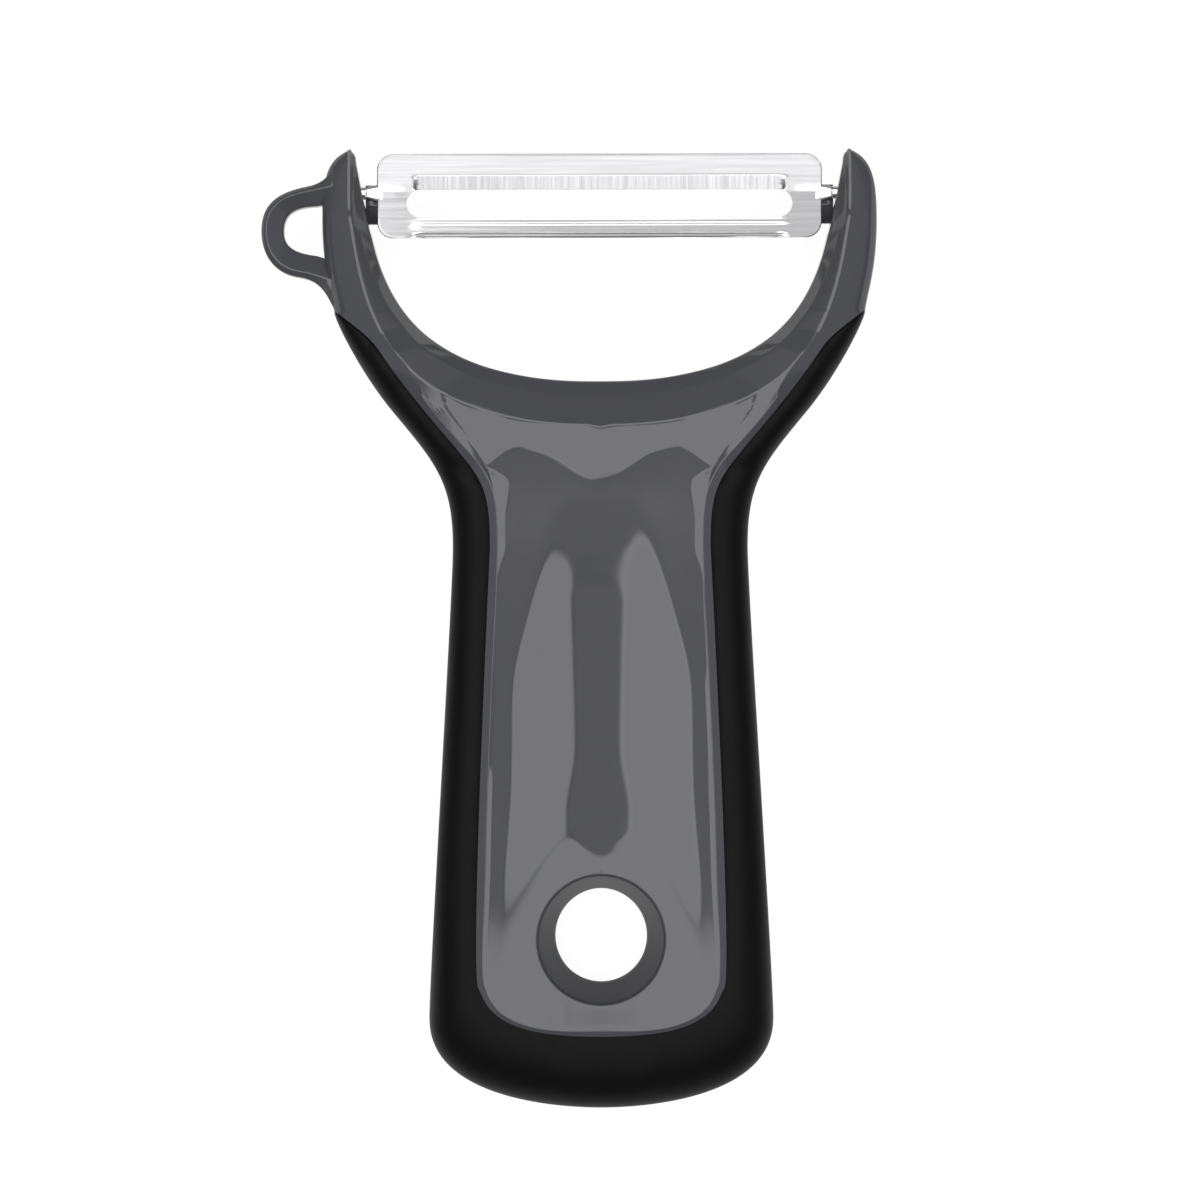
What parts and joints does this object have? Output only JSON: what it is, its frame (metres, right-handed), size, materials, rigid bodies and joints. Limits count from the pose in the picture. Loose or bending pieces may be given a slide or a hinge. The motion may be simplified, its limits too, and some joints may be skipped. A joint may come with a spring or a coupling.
{
  "type": "vegetable peeler",
  "caption": "Y-shaped vegetable peeler with a free-swinging slotted blade across a forked handle, a soft grip, a potato eyer loop and a hanging hole.",
  "frame": {"origin": "on the flat of the grip's back, on the centre line, under the middle of the handle", "axes": "the part lies on its back: +Z out of the handle's front face, +Y along the handle towards the blade, +X to the right seen from the front"},
  "size_m": [0.0924, 0.1438, 0.0156],
  "materials": {
    "core_plastic": "smooth glossy moulding, dark cool grey",
    "grip_rubber": "soft-touch matt, fine grain, black",
    "blade_steel": "bright stamped sheet with a ground cutting bevel"
  },
  "bodies": {
    "handle": {"core_frame": "core_plastic", "soft_grip": "grip_rubber"},
    "blade": {"swivel_blade": "blade_steel"}
  },
  "joints": [
    {"name": "blade_swivel", "type": "hinge", "parent": "handle", "child": "blade", "pos_m": [0, 0.07605, 0.0094], "axis": [1, 0, 0], "range_deg": [-33, 27]}
  ]
}
